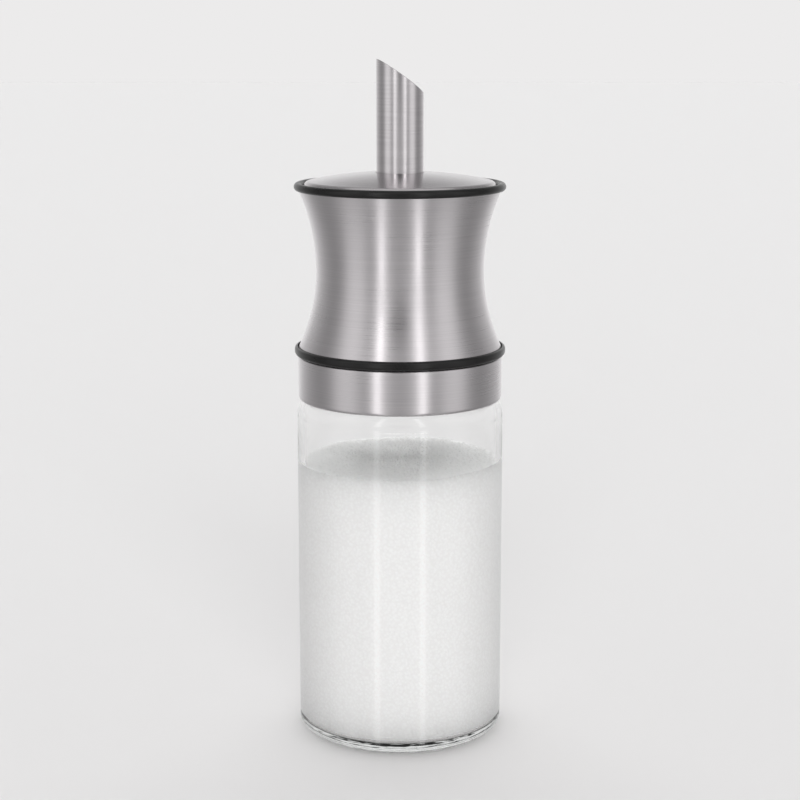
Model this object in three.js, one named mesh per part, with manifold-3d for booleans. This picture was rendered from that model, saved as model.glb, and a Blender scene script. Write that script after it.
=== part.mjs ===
// Sugar dispenser: a glass jar with a screwed-on steel lid, a slanted pouring tube and a dosing cup.
// Lengths are millimetres and angles are degrees. +Z is up, and the jar stands on Z = 0.

import * as THREE from 'three';
import { mergeVertices } from 'three/addons/utils/BufferGeometryUtils.js';
import Module from 'manifold-3d';

const wasm = await Module();
wasm.setup();

// Facets
const segments = 40;
const roundSteps = 3;
const curveSteps = 8;

// Fits shared by all pieces
const fitGap = 0.3;
const seatGap = 0.1;
const snugGap = 0.1;
const overrun = 2;

// Glass jar
const jarRadius = 27;
const glassWall = 1.7;
const jarBase = 2.4;
const footRound = 2.8;
const innerFootRound = 2;
const jarStraightHeight = 84.9;
const shoulderShow = 4.4;
const rimRound = 0.4;

// Collar band of steel sheet round the jar's neck
const collarInset = 0.4;
const collarHeight = 11.6;
const collarSheet = 0.5;
const collarRoll = 1;
const collarTopRound = 0.6;
const collarLip = 2.4;

// Neck ring with the internal thread, and the washer under it
const skirtWall = 1.5;
const threadWall = 1.8;
const ringFlange = 1.1;
const rimSealThickness = 0.8;

// Screw thread, one right-handed start
const threadPitch = 3;
const threadTurns = 2;
const threadDepth = 1;
const threadGap = 0.3;
const threadTopInset = 0.7;
const threadEndMargin = 0.2;
const threadSink = 0.25;
const ridgeBaseShare = 0.27;
const ridgeCrestShare = 0.15;
const runOutShare = 0.12;

// Lower black ring, stretched round the lid's flange
const gasketHeight = 2.4;
const gasketLip = 0.75;
const gasketLipGap = 0.25;
const gasketFootRound = 1;

// Thread plug, the lid's base
const plugWall = 1.6;
const plugChamfer = 0.4;
const flangeThickness = 1;
const flangeStep = 0.2;
const landHeight = 2;
const spigotHeight = 4;
const spigotWall = 1.5;

// Waisted steel shell
const shellInset = 0.3;
const shellTopInset = 0.25;
const waistDepth = 4.55;
const waistHeight = 19.9;
const shellHeight = 40.35;
const shellSheet = 0.5;

// Liner inside the shell
const linerWall = 1.6;
const deckThickness = 2;
const bossWall = 1.3;
const bossLength = 10;

// Upper black ring
const trimOverhang = 1.3;
const trimBeadWidth = 2.15;
const trimHeight = 2.05;
const trimFootRound = 0.6;
const trimWeb = 0.85;
const trimWebSeat = 2.4;

// Domed top plate
const plateSheet = 0.6;
const plateEdgeRise = 0.1;
const plateCrown = 2.6;
const plateCornerRound = 0.8;

// Pouring tube
const tubeRadius = 6.12;
const tubeSheet = 0.5;
const tubeStandout = 28.6;
const tipDrop = 8.8;
const tipTurn = 13;
const beadHeight = 1;
const beadSeat = 1;
const innerBevel = 4.2;

// O-ring and star washer on the tube
const oRingSection = 1.6;
const oRingPoints = 8;
const washerSheet = 0.5;
const washerTeeth = 6;
const washerSlotDepth = 1.2;
const washerSlotWidth = 3.2;

// Dosing cup
const cupTuck = 2.7;
const cupWall = 1;
const cupFloor = 1.2;
const cupFootRound = 1.5;
const cupRadiusShare = 0.55;
const doseDepth = 7.8;
const sleeveInset = 1.3;
const sleeveWall = 0.8;
const sleeveLength = 7.5;
const ribCount = 3;
const ribFirstAngle = 60;
const ribThickness = 1.2;
const ribHeight = 5;

// Heights of the stack, from the jar's foot up
const collarFoot = jarStraightHeight + shoulderShow;
const collarTop = collarFoot + collarHeight;
const rimHeight = collarTop - ringFlange - rimSealThickness;
const gasketFoot = collarTop + seatGap;
const lidSeat = collarTop + gasketHeight;

// Radii from the collar inwards to the lid's open middle
const collarRadius = jarRadius - collarInset;
const collarInner = collarRadius - collarSheet;
const skirtRadius = collarInner - fitGap;
const neckRadius = skirtRadius - skirtWall - fitGap;
const neckBore = neckRadius - glassWall;
const threadRing = neckBore - fitGap;
const ringRoot = threadRing - threadWall;
const shankRadius = ringRoot - threadGap;
const plugCore = shankRadius - threadDepth;
const plugBore = plugCore - plugWall;

// Radii of the lid
const shellFootRadius = collarRadius - shellInset;
const shellTopRadius = shellFootRadius - shellTopInset;
const waistRadius = shellFootRadius - waistDepth;
const flangeRadius = shellFootRadius + flangeStep;
const gasketLipInner = flangeRadius + gasketLipGap;
const gasketRadius = gasketLipInner + gasketLip;
const linerRadius = waistRadius - shellSheet - fitGap;
const linerBore = linerRadius - linerWall;
const spigotRadius = linerBore - fitGap;
const spigotBore = spigotRadius - spigotWall;
const trimRadius = shellTopRadius + trimOverhang;
const trimBeadInner = trimRadius - trimBeadWidth;
const plateRadius = trimBeadInner - fitGap;
const oRingBore = tubeRadius + snugGap;
const counterbore = oRingBore + oRingSection + snugGap;
const bossRadius = counterbore + bossWall;
const beadRadius = counterbore + beadSeat;
const sleeveBore = tubeRadius + fitGap;
const sleeveRadius = sleeveBore + sleeveWall;
const cupRadius = sleeveRadius + cupRadiusShare * (Math.min(plugBore, spigotBore) - sleeveRadius);
const cupBore = cupRadius - cupWall;

// Thread heights: the ridges on the ring and on the plug start half a turn apart, so they interleave
const ridgeBase = threadPitch * ridgeBaseShare;
const ridgeCrest = threadPitch * ridgeCrestShare;
const threadHigh = collarTop - threadTopInset - ridgeBase;
const threadLow = threadHigh - threadPitch * threadTurns;
const threadFoot = threadLow - ridgeBase - threadEndMargin;
const shankFoot = threadHigh + ridgeBase + fitGap;

// Heights along the tube
const cupFoot = collarFoot + cupTuck;
const tubeFoot = cupFoot + cupFloor + doseDepth;
const sleeveFoot = tubeFoot + innerBevel + sleeveInset;
const cupTop = sleeveFoot + sleeveLength;
const deckTop = lidSeat + shellHeight;
const bossFoot = deckTop - deckThickness - bossLength;
const plateTop = deckTop + trimHeight + plateEdgeRise + plateCrown;
const tubeTip = plateTop + tubeStandout;

// A point of a turned outline: radius from the axis, height
function at(radius, height) {
  return new THREE.Vector2(radius, height);
}

function onCircle(radius, angle) {
  const radians = THREE.MathUtils.degToRad(angle);
  return [radius * Math.cos(radians), radius * Math.sin(radians)];
}

// Points along a circular arc of an outline, ends included
function arc(centreRadius, centreHeight, radius, fromAngle, toAngle, steps = roundSteps) {
  const points = [];
  for (let i = 0; i <= steps; i += 1) {
    const angle = fromAngle + ((toAngle - fromAngle) * i) / steps;
    const [across, up] = onCircle(radius, angle);
    points.push(at(centreRadius + across, centreHeight + up));
  }
  return points;
}

// Bare positions with shared vertices, as the solid library needs them
function welded(geometry) {
  const bare = geometry.clone();
  bare.deleteAttribute('normal');
  bare.deleteAttribute('uv');
  return mergeVertices(bare);
}

// A closed outline, listed anticlockwise with radius to the right, turned about the Z axis
function turned(points) {
  const outline = [...points];
  const onAxis = points[0].x === 0 && points[points.length - 1].x === 0;
  if (!onAxis) outline.push(points[0].clone());
  const geometry = new THREE.LatheGeometry(outline, segments);
  geometry.rotateX(Math.PI / 2);
  return welded(geometry);
}

function toSolid(geometry) {
  const bare = welded(geometry);
  const mesh = new wasm.Mesh({
    numProp: 3,
    vertProperties: new Float32Array(bare.attributes.position.array),
    triVerts: new Uint32Array(bare.index.array),
  });
  return new wasm.Manifold(mesh);
}

function toGeometry(solid) {
  const mesh = solid.getMesh();
  const geometry = new THREE.BufferGeometry();
  geometry.setAttribute('position', new THREE.BufferAttribute(mesh.vertProperties, 3));
  geometry.setIndex(new THREE.BufferAttribute(mesh.triVerts, 1));
  return geometry;
}

// A helical ridge on a round wall. side is 1 on the outside of a wall and -1 in a bore.
// The ridge runs out into the wall at both ends.
function threadRidge(wallRadius, side, startHeight, startAngle) {
  const steps = Math.round(segments * threadTurns);
  const runOut = steps * runOutShare;
  const sunk = wallRadius - side * threadSink;
  const positions = [];
  for (let i = 0; i <= steps; i += 1) {
    const angle = startAngle + (360 * i) / segments;
    const middle = startHeight + (threadPitch * i) / segments;
    const full = Math.min(1, i / runOut, (steps - i) / runOut);
    const crest = sunk + side * (threadSink / 2 + (threadDepth + threadSink / 2) * full);
    const base = [at(sunk, middle - ridgeBase), at(sunk, middle + ridgeBase)];
    const top = [at(crest, middle - ridgeCrest), at(crest, middle + ridgeCrest)];
    const section = side > 0 ? [base[0], top[0], top[1], base[1]] : [top[0], base[0], base[1], top[1]];
    section.forEach((point) => positions.push(...onCircle(point.x, angle), point.y));
  }
  const index = [];
  for (let i = 0; i < steps; i += 1) {
    for (let j = 0; j < 4; j += 1) {
      const a = 4 * i + j;
      const b = 4 * i + ((j + 1) % 4);
      index.push(a, a + 4, b, b + 4, b, a + 4);
    }
  }
  const last = 4 * steps;
  index.push(0, 1, 2, 0, 2, 3);
  index.push(last, last + 2, last + 1, last, last + 3, last + 2);
  const geometry = new THREE.BufferGeometry();
  geometry.setAttribute('position', new THREE.Float32BufferAttribute(positions, 3));
  geometry.setIndex(index);
  return geometry;
}

// A block that fills everything beyond a slanted plane across the tube. The plane meets the axis at a height and
// falls by drop over the tube's width, towards an angle round the axis. side is 1 above the plane and -1 below it.
function beyondSlant(height, drop, angle, side) {
  const size = 2 * (tubeRadius + drop + overrun);
  const block = new THREE.BoxGeometry(size, size, size);
  block.translate(0, 0, size / 2);
  const normal = new THREE.Vector3(...onCircle(drop / (2 * tubeRadius), angle), side).normalize();
  const slant = new THREE.Quaternion().setFromUnitVectors(new THREE.Vector3(0, 0, 1), normal);
  block.applyQuaternion(slant);
  block.translate(0, 0, height);
  return toSolid(block);
}

// Materials
const glass = new THREE.MeshStandardMaterial({
  color: '#dfe6e6',
  roughness: 0.05,
  metalness: 0,
  transparent: true,
  opacity: 0.35,
});
const brushedSteel = new THREE.MeshStandardMaterial({ color: '#b9b5b6', roughness: 0.35, metalness: 1 });
const polishedSteel = new THREE.MeshStandardMaterial({ color: '#c4c1c2', roughness: 0.15, metalness: 1 });
const blackRubber = new THREE.MeshStandardMaterial({ color: '#1c191b', roughness: 0.35, metalness: 0 });
const blackAbs = new THREE.MeshStandardMaterial({ color: '#211f20', roughness: 0.5, metalness: 0 });
const clearSilicone = new THREE.MeshStandardMaterial({ color: '#d8d6d2', roughness: 0.6, metalness: 0 });

const dispenser = new THREE.Group();
const jar = new THREE.Group();
const lid = new THREE.Group();
lid.position.z = lidSeat;
dispenser.add(jar, lid);

function place(group, name, geometry, material, height = 0) {
  const mesh = new THREE.Mesh(geometry, material);
  mesh.name = name;
  mesh.position.z = height;
  group.add(mesh);
}

// Glass jar: straight wall, rounded foot, shoulder drawn in to a plain neck.
// The shoulder's arc passes just inside the collar's rolled edge and runs on until it meets the neck.
function glassJar() {
  const showDepth = collarRoll + fitGap + collarInset;
  const shoulderRadius = (showDepth ** 2 + shoulderShow ** 2) / (2 * showDepth);
  const shoulderCentre = jarRadius - shoulderRadius;
  const neckAngle = THREE.MathUtils.radToDeg(Math.acos((neckRadius - shoulderCentre) / shoulderRadius));
  const innerShoulder = shoulderRadius - glassWall;
  const boreAngle = THREE.MathUtils.radToDeg(Math.acos((neckBore - shoulderCentre) / innerShoulder));
  const innerRadius = jarRadius - glassWall;
  return turned([
    at(0, 0),
    ...arc(jarRadius - footRound, footRound, footRound, -90, 0, roundSteps + 1),
    ...arc(shoulderCentre, jarStraightHeight, shoulderRadius, 0, neckAngle, roundSteps + 1),
    at(neckRadius, rimHeight - rimRound),
    at(neckRadius - rimRound, rimHeight),
    at(neckBore + rimRound, rimHeight),
    at(neckBore, rimHeight - rimRound),
    ...arc(shoulderCentre, jarStraightHeight, innerShoulder, boreAngle, 0),
    ...arc(innerRadius - innerFootRound, jarBase + innerFootRound, innerFootRound, 0, -90),
    at(0, jarBase),
  ]);
}

// Washer between the glass rim and the neck ring
function glassRimSeal() {
  const inner = neckBore + rimRound;
  const outer = neckRadius - rimRound;
  return turned([
    at(inner, 0),
    at(outer, 0),
    at(outer, rimSealThickness),
    at(inner, rimSealThickness),
  ]);
}

// Neck ring: an upside-down U over the glass rim. Its height zero is the collar's top.
function neckRing() {
  const skirtFoot = collarRoll + fitGap - collarHeight;
  const rebate = collarRadius - collarLip - fitGap;
  const body = turned([
    at(ringRoot, threadFoot - collarTop),
    at(threadRing, threadFoot - collarTop),
    at(threadRing, -ringFlange),
    at(neckRadius + fitGap, -ringFlange),
    at(neckRadius + fitGap, skirtFoot),
    at(skirtRadius, skirtFoot),
    at(skirtRadius, -collarSheet),
    at(rebate, -collarSheet),
    at(rebate, 0),
    at(ringRoot, 0),
  ]);
  const ridge = threadRidge(ringRoot, -1, threadLow - collarTop, 0);
  return toGeometry(toSolid(body).add(toSolid(ridge)));
}

// Collar band: sheet steel, foot rolled in, top edge turned in over the neck ring
function collarBand() {
  const rollCentre = collarRadius - collarRoll;
  const topCentre = collarRadius - collarTopRound;
  const lipInner = collarRadius - collarLip;
  return turned([
    ...arc(rollCentre, collarRoll, collarRoll, -90, 0),
    ...arc(topCentre, collarHeight - collarTopRound, collarTopRound, 0, 90, roundSteps - 1),
    at(lipInner, collarHeight),
    at(lipInner, collarHeight - collarSheet),
    at(collarInner, collarHeight - collarSheet),
    ...arc(rollCentre, collarRoll, collarRoll - collarSheet, 0, -90, roundSteps - 1),
  ]);
}

// Lower black ring: a flat web under the lid's flange and a lip round its edge
function lidGasket() {
  const bore = shankRadius + fitGap;
  const webTop = gasketHeight - flangeThickness - 2 * seatGap;
  const lipTop = gasketHeight - seatGap;
  return turned([
    at(bore, 0),
    ...arc(gasketRadius - gasketFootRound, gasketFootRound, gasketFootRound, -90, 0),
    ...arc(gasketLipInner, lipTop - gasketLip, gasketLip, 0, 90),
    at(gasketLipInner, webTop),
    at(bore, webTop),
  ]);
}

// Curvature of the shell's outline at a height above its foot. Each side of the waist is its own parabola.
function shellFlare(height) {
  return height < waistHeight
    ? (shellFootRadius - waistRadius) / waistHeight ** 2
    : (shellTopRadius - waistRadius) / (shellHeight - waistHeight) ** 2;
}

// Outer radius of the waisted shell, and the radius inside its sheet
function shellRadius(height) {
  return waistRadius + shellFlare(height) * (height - waistHeight) ** 2;
}

function shellBore(height) {
  const slope = 2 * shellFlare(height) * (height - waistHeight);
  return shellRadius(height) - shellSheet * Math.hypot(1, slope);
}

// Radius of the deck that closes the liner just inside the shell's top
function deckOuter() {
  return shellBore(shellHeight - deckThickness) - fitGap;
}

// Lid shell, open at both ends
function lidShell() {
  const heights = [];
  for (let i = 0; i <= curveSteps; i += 1) heights.push((shellHeight * i) / curveSteps);
  const outside = heights.map((height) => at(shellRadius(height), height));
  const inside = heights.map((height) => at(shellBore(height), height)).reverse();
  return turned([...outside, ...inside]);
}

// Thread plug: threaded spigot, flange under the shell, land inside the shell and spigot inside the liner
function threadPlug() {
  const foot = threadFoot - lidSeat;
  const shank = shankFoot - lidSeat;
  const landRadius = shellBore(landHeight) - fitGap;
  const top = landHeight + spigotHeight;
  const body = turned([
    at(plugBore, foot),
    at(plugCore - plugChamfer, foot),
    at(plugCore, foot + plugChamfer),
    at(plugCore, shank),
    at(shankRadius, shank),
    at(shankRadius, -flangeThickness),
    at(flangeRadius, -flangeThickness),
    at(flangeRadius, 0),
    at(landRadius, 0),
    at(landRadius, landHeight),
    at(spigotRadius, landHeight),
    at(spigotRadius, top),
    at(spigotBore, top),
    at(spigotBore, 0),
    at(plugBore, 0),
  ]);
  const ridge = threadRidge(plugCore, 1, threadLow - lidSeat, 180);
  return toGeometry(toSolid(body).add(toSolid(ridge)));
}

// Liner: a sleeve that stands on the plug's land, with a deck and a boss for the tube
function lidLiner() {
  const top = shellHeight - landHeight;
  const ceiling = top - deckThickness;
  const boss = ceiling - bossLength;
  const grooveFloor = top - oRingSection - 2 * snugGap;
  const deckRadius = deckOuter();
  return turned([
    at(linerBore, 0),
    at(linerRadius, 0),
    at(linerRadius, ceiling),
    at(deckRadius, ceiling),
    at(deckRadius, top),
    at(counterbore, top),
    at(counterbore, grooveFloor),
    at(sleeveBore, grooveFloor),
    at(sleeveBore, boss),
    at(bossRadius, boss),
    at(bossRadius, ceiling),
    at(linerBore, ceiling),
  ]);
}

// Upper black ring: a round bead on the shell's top edge, and a web on the deck under the plate's rim
function topTrimRing() {
  const webInner = deckOuter() - trimWebSeat;
  const beadRound = trimBeadWidth / 2;
  return turned([
    at(webInner, 0),
    ...arc(trimRadius - trimFootRound, trimFootRound, trimFootRound, -90, 0, roundSteps - 1),
    ...arc(trimRadius - beadRound, trimHeight - beadRound, beadRound, 0, 180, 2 * roundSteps),
    at(trimBeadInner, trimWeb),
    at(webInner, trimWeb),
  ]);
}

// Top plate: a shallow dome with its rim turned down onto the trim ring's web
function topPlate() {
  const domeRadius = (plateRadius ** 2 + plateCrown ** 2) / (2 * plateCrown);
  const edge = trimHeight - trimWeb + plateEdgeRise;
  const domeHeight = (radius) => edge + plateCrown - domeRadius + Math.sqrt(domeRadius ** 2 - radius ** 2);
  const shoulder = plateRadius - plateCornerRound;
  const rimInner = plateRadius - plateSheet;
  const above = [];
  const below = [];
  for (let i = 1; i <= curveSteps; i += 1) {
    const radius = shoulder + ((oRingBore - shoulder) * i) / curveSteps;
    above.push(at(radius, domeHeight(radius)));
  }
  for (let i = 0; i <= curveSteps / 2; i += 1) {
    const radius = oRingBore + ((rimInner - oRingBore) * 2 * i) / curveSteps;
    below.push(at(radius, domeHeight(radius) - plateSheet));
  }
  return turned([
    at(rimInner, 0),
    at(plateRadius, 0),
    ...arc(shoulder, domeHeight(shoulder) - plateCornerRound, plateCornerRound, 0, 90),
    ...above,
    ...below,
  ]);
}

// Pouring tube: slanted tip, a bead that bears on the deck and a bevelled inner end. Height zero is the deck.
function pourTube() {
  const bore = tubeRadius - tubeSheet;
  const foot = tubeFoot - deckTop;
  const tip = tubeTip - deckTop;
  const body = turned([
    at(bore, foot),
    at(tubeRadius, foot),
    at(tubeRadius, 0),
    at(beadRadius, 0),
    at(beadRadius, beadHeight),
    at(tubeRadius, beadHeight),
    at(tubeRadius, tip),
    at(bore, tip),
  ]);
  const cut = toSolid(body)
    .subtract(beyondSlant(tip - tipDrop / 2, tipDrop, tipTurn, 1))
    .subtract(beyondSlant(foot + innerBevel / 2, innerBevel, 0, -1));
  return toGeometry(cut);
}

// O-ring round the tube, in the deck's counterbore
function tubeSeal() {
  const radius = oRingSection / 2;
  return turned(arc(oRingBore + radius, 0, radius, 0, 360, oRingPoints).slice(0, -1));
}

// Star washer: a disc that grips the tube under the boss with the teeth left between its slots
function tubeRetainer() {
  let solid = toSolid(turned([
    at(oRingBore, 0),
    at(bossRadius, 0),
    at(bossRadius, washerSheet),
    at(oRingBore, washerSheet),
  ]));
  const slotEnd = oRingBore + washerSlotDepth;
  for (let i = 0; i < washerTeeth; i += 1) {
    const slot = new THREE.BoxGeometry(slotEnd, washerSlotWidth, washerSheet + 2 * overrun);
    slot.translate(slotEnd / 2, 0, washerSheet / 2);
    slot.rotateZ(THREE.MathUtils.degToRad((360 * i) / washerTeeth));
    solid = solid.subtract(toSolid(slot));
  }
  return toGeometry(solid);
}

// Dosing cup: open cup, and a sleeve on the tube held in it by ribs. Sugar falls in between the ribs.
function dosingCup() {
  const top = cupTop - cupFoot;
  const cup = turned([
    at(0, 0),
    ...arc(cupRadius - cupFootRound, cupFootRound, cupFootRound, -90, 0),
    at(cupRadius, top),
    at(cupBore, top),
    at(cupBore, cupFloor),
    at(0, cupFloor),
  ]);
  const sleeve = turned([
    at(sleeveBore, top - sleeveLength),
    at(sleeveRadius, top - sleeveLength),
    at(sleeveRadius, top),
    at(sleeveBore, top),
  ]);
  let solid = toSolid(cup).add(toSolid(sleeve));
  const ribStart = sleeveRadius - sleeveWall / 2;
  const ribEnd = cupBore + cupWall / 2;
  for (let i = 0; i < ribCount; i += 1) {
    const rib = new THREE.BoxGeometry(ribEnd - ribStart, ribThickness, ribHeight);
    rib.translate((ribStart + ribEnd) / 2, 0, top - ribHeight / 2);
    rib.rotateZ(THREE.MathUtils.degToRad(ribFirstAngle + (360 * i) / ribCount));
    solid = solid.add(toSolid(rib));
  }
  return toGeometry(solid);
}

place(jar, 'glass_jar', glassJar(), glass);
place(jar, 'glass_rim_seal', glassRimSeal(), clearSilicone, rimHeight);
place(jar, 'neck_ring', neckRing(), blackAbs, collarTop);
place(jar, 'collar_band', collarBand(), brushedSteel, collarFoot);
place(lid, 'lid_gasket', lidGasket(), blackRubber, gasketFoot - lidSeat);
place(lid, 'thread_plug', threadPlug(), blackAbs);
place(lid, 'lid_shell', lidShell(), brushedSteel);
place(lid, 'lid_liner', lidLiner(), blackAbs, landHeight);
place(lid, 'top_trim_ring', topTrimRing(), blackRubber, shellHeight);
place(lid, 'top_plate', topPlate(), polishedSteel, shellHeight + trimWeb);
place(lid, 'pour_tube', pourTube(), polishedSteel, shellHeight);
place(lid, 'tube_seal', tubeSeal(), blackRubber, shellHeight - snugGap - oRingSection / 2);
place(lid, 'tube_retainer', tubeRetainer(), brushedSteel, bossFoot - washerSheet - lidSeat);
place(lid, 'dosing_cup', dosingCup(), blackAbs, cupFoot - lidSeat);

export default dispenser;
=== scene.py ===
# Sugar dispenser, 177 mm tall: a glass jar of sugar, a waisted steel lid that screws off, a slanted pouring
# tube through the lid and a dosing cup inside it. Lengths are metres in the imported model's frame, with +Z
# up. The sections follow the order in which the real pieces are put together, from the jar upwards.

import math

import bpy
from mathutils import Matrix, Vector, noise


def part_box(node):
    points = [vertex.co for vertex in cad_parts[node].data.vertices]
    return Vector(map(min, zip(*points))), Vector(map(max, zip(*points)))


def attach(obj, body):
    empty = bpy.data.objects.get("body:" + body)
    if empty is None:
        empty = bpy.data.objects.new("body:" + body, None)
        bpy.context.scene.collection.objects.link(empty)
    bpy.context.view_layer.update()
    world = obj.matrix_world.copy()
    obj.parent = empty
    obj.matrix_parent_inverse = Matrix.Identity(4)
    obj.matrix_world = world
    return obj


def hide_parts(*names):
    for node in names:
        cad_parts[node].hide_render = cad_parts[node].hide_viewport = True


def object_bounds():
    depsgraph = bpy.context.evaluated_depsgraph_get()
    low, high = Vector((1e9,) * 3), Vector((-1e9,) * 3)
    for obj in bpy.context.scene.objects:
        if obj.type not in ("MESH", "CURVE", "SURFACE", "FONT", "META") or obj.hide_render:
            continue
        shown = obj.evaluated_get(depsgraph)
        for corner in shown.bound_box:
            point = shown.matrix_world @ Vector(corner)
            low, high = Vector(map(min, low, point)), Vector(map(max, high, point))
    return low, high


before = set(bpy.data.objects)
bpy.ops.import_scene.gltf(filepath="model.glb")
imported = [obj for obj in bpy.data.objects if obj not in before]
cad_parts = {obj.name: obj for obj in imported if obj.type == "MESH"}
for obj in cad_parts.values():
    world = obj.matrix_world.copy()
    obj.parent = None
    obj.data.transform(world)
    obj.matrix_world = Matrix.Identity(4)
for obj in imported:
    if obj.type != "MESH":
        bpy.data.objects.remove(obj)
cad_box = [list(corner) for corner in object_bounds()]
mm = 0.001

# Camera. The dispenser was photographed upright from half a metre away, with the lens a little above the
# tip of the tube, so the jar's foot shows as a wide ellipse and the lid's top as a narrow one.
camera_distance = 488 * mm
camera_height = 185 * mm
camera_place = Vector((0, -camera_distance, camera_height))
camera_target = (Vector(cad_box[0]) + Vector(cad_box[1])) / 2
camera_data = bpy.data.cameras.new("camera")
camera_data.sensor_width = 36
camera_data.lens = 85
camera = bpy.data.objects.new("camera", camera_data)
camera.location = camera_place
camera.rotation_euler = (camera_target - camera_place).to_track_quat("-Z", "Y").to_euler()
bpy.context.scene.collection.objects.link(camera)
bpy.context.scene.camera = camera


# Glass jar. Clear soda-lime glass blown in a mould, with an even wall, a thicker base and a fire-polished
# rim. Its neck is plain, because the thread is in the black ring glued over it.
def arc(radius, height, bend, start, end, steps=14):
    """Outline points along an arc of radius bend about (radius, height), from start to end in degrees."""
    turns = [math.radians(start + (end - start) * step / steps) for step in range(steps + 1)]
    return [(radius + bend * math.cos(turn), height + bend * math.sin(turn)) for turn in turns]


def filleted(outline, finest=math.radians(9)):
    """The points of a closed outline. An entry (radius, height, bend) is a corner that is rounded by bend."""
    points = []
    for place, entry in enumerate(outline):
        corner = Vector(entry[:2])
        if len(entry) == 2:
            points.append(corner)
            continue
        bend = entry[2]
        back = (Vector(outline[place - 1][:2]) - corner).normalized()
        ahead = (Vector(outline[(place + 1) % len(outline)][:2]) - corner).normalized()
        half = back.angle(ahead) / 2
        centre = corner + (back + ahead).normalized() * (bend / math.sin(half))
        first = corner + back * (bend / math.tan(half)) - centre
        last = corner + ahead * (bend / math.tan(half)) - centre
        start = math.atan2(first.y, first.x)
        sweep = math.remainder(math.atan2(last.y, last.x) - start, 2 * math.pi)
        steps = max(3, round(abs(sweep) / finest))
        turns = [start + sweep * step / steps for step in range(steps + 1)]
        points += [centre + bend * Vector((math.cos(turn), math.sin(turn))) for turn in turns]
    return points


def solid(name, corners, faces):
    """A piece of the object from the corners and faces of its surface."""
    mesh = bpy.data.meshes.new(name)
    mesh.from_pydata(corners, [], faces)
    piece = bpy.data.objects.new(name, mesh)
    bpy.context.scene.collection.objects.link(piece)
    return piece


on_axis = mm / 1000
fine_facets = 256


def turned(name, outline, facets=192, shift=None):
    """A piece turned about the Z axis from a closed outline, anticlockwise with the radius to the right.
    shift gives how far a corner of the turned piece moves up."""
    corners = []
    rings = []
    for radius, height in filleted(outline):
        count = 1 if radius < on_axis else facets
        rings.append([len(corners) + step for step in range(count)])
        for step in range(count):
            turn = 2 * math.pi * step / facets
            corners.append(Vector((radius * math.cos(turn), radius * math.sin(turn), height)))
    if shift:
        for corner in corners:
            corner.z += shift(corner)
    faces = []
    for ring, following in zip(rings, rings[1:] + rings[:1]):
        if len(ring) == len(following) == 1:
            continue
        for step in range(facets):
            ahead = (step + 1) % facets
            if len(ring) == 1:
                faces.append((ring[0], following[ahead], following[step]))
            elif len(following) == 1:
                faces.append((ring[step], ring[ahead], following[0]))
            else:
                faces.append((ring[step], ring[ahead], following[ahead], following[step]))
    return solid(name, corners, faces)


def smooth(piece, crease=math.radians(38)):
    """Shades a piece smooth, with sharp edges where its faces meet at more than crease."""
    piece.data.shade_smooth()
    piece.data.set_sharp_from_angle(angle=crease)
    even = piece.modifiers.new("even shading", "WEIGHTED_NORMAL")
    even.keep_sharp = True
    return piece


def linear(colour):
    """The linear colour of an sRGB hex value, with full alpha."""
    channels = [int(colour[place:place + 2], 16) / 255 for place in (1, 3, 5)]
    return [c / 12.92 if c <= 0.04045 else ((c + 0.055) / 1.055) ** 2.4 for c in channels] + [1]


def add(tree, kind, inputs, **settings):
    """Adds a shader node with its settings. inputs gives an input, by name or number, its value or link."""
    made = tree.nodes.new("ShaderNode" + kind)
    for name, value in settings.items():
        setattr(made, name, value)
    for name, value in inputs.items():
        if isinstance(value, bpy.types.NodeSocket):
            tree.links.new(value, made.inputs[name])
        else:
            made.inputs[name].default_value = value
    return made


def new_material(name):
    """An empty material. Returns it with its node tree and the coordinates of the piece that wears it."""
    material = bpy.data.materials.new(name)
    material.use_nodes = True
    tree = material.node_tree
    tree.nodes.clear()
    return material, tree, add(tree, "TexCoord", {}).outputs["Object"]


jar_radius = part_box("glass_jar")[1].x
rim_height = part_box("glass_jar")[1].z
glass_wall = 1.7 * mm
jar_base = 2.4 * mm
foot_round = 2.8 * mm
inner_foot_round = 2 * mm
straight_height = 84.9 * mm
shoulder_round = 6.54 * mm
neck_radius = 24 * mm
rim_round = 0.6 * mm
jar_bore = jar_radius - glass_wall
neck_bore = neck_radius - glass_wall
shoulder_centre = jar_radius - shoulder_round
inner_shoulder = shoulder_round - glass_wall
neck_angle = math.degrees(math.acos((neck_radius - shoulder_centre) / shoulder_round))
bore_angle = math.degrees(math.acos((neck_bore - shoulder_centre) / inner_shoulder))
glass_jar = smooth(turned("clear_glass_jar", [
    (0, 0),
    (jar_radius, 0, foot_round),
    *arc(shoulder_centre, straight_height, shoulder_round, 0, neck_angle),
    (neck_radius, rim_height, rim_round),
    (neck_bore, rim_height, rim_round),
    *arc(shoulder_centre, straight_height, inner_shoulder, bore_angle, 0),
    (jar_bore, jar_base, inner_foot_round),
    (0, jar_base),
], facets=fine_facets))

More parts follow.
